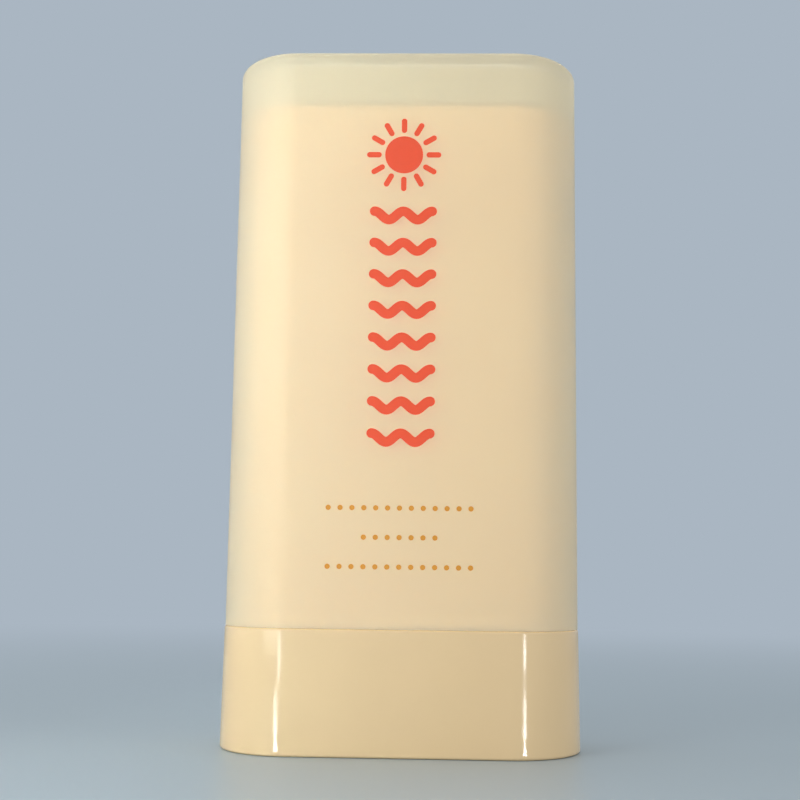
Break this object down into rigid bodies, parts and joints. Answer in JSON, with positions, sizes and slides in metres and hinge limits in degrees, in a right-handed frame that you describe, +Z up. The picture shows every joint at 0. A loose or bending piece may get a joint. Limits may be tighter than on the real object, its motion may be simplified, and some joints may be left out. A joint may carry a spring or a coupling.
{
  "type": "sunscreen stick",
  "caption": "Flat oval twist-up sunscreen stick with a frosted pull-off cap, inner lid, balm on a screw-driven carrier and a glossy base with a round dial underneath.",
  "frame": {"origin": "middle of the base's footprint, on the surface that the stick stands on", "axes": "+Z up along the stick, the wide front faces -Y, +X to the right seen from the front"},
  "size_m": [0.0472, 0.0246, 0.0904],
  "materials": {
    "frosted_cap": "frosted translucent, satin outside",
    "milky_lid": "thin milky translucent",
    "cream_barrel": "satin cream",
    "cream_base": "glossy cream",
    "white_drive": "plain moulded white",
    "balm": "smooth waxy",
    "ring_rubber": "matte silicone rubber"
  },
  "bodies": {
    "base": {"base_shell": "cream_base", "base_plate": "cream_base", "barrel": "cream_barrel"},
    "dial": {"dial": "cream_base", "spindle": "white_drive", "friction_ring": "ring_rubber"},
    "carrier": {"carrier": "white_drive", "balm": "balm"},
    "lid": {"inner_lid": "milky_lid"},
    "cap": {"overcap": "frosted_cap"}
  },
  "joints": [
    {"name": "dial_turn", "type": "hinge", "parent": "base", "child": "dial", "pos_m": [0, 0, 0.003], "axis": [0, 0, 1], "range_deg": [0, 3600]},
    {"name": "balm_lift", "type": "slide", "parent": "base", "child": "carrier", "axis": [0, 0, 1], "range_m": [0, 0.028]},
    {"name": "lid_pull", "type": "slide", "parent": "carrier", "child": "lid", "axis": [0, 0, 1], "range_m": [0, 0.02]},
    {"name": "cap_pull", "type": "slide", "parent": "lid", "child": "cap", "axis": [0, 0, 1], "range_m": [0, 0.08]}
  ],
  "couplings": [
    {"joint": "dial_turn", "follows": "balm_lift", "rad_per_m": 2244}
  ]
}
